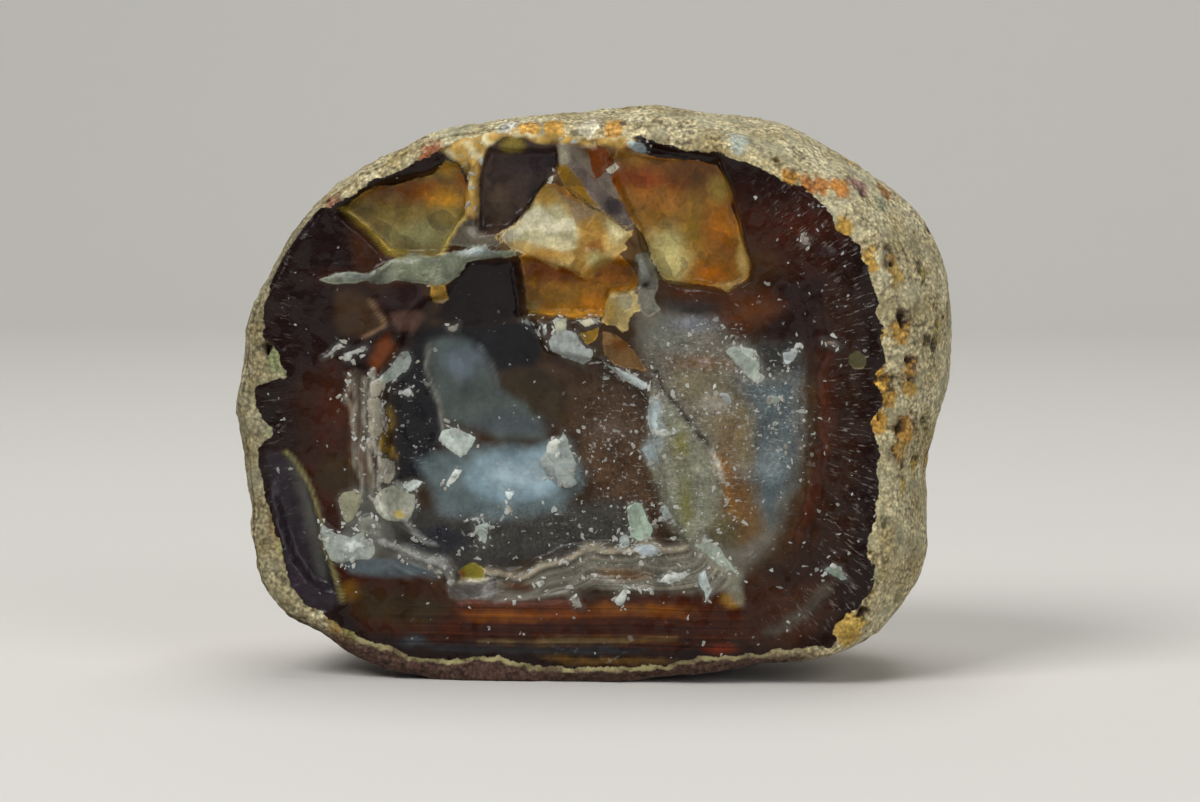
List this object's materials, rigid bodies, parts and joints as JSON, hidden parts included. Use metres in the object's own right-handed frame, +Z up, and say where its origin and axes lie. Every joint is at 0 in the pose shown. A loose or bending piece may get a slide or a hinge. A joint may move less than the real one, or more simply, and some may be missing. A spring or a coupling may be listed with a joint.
{
  "type": "geode half",
  "caption": "Half of a rounded agate nodule with a pale pitted rind and a rough glassy broken face, standing on its flattened underside as a display specimen.",
  "frame": {"origin": "on the flat underside that the stone stands on, below the middle of the stone", "axes": "+Z up from the underside, the broken face looks along -Y, +X runs to the right along the broken face"},
  "size_m": [0.072, 0.0358, 0.0578],
  "materials": {
    "agate": "waxy broken chalcedony inside a matt chalky rind"
  },
  "bodies": {
    "root": {"geode_half": "agate"}
  },
  "joints": []
}
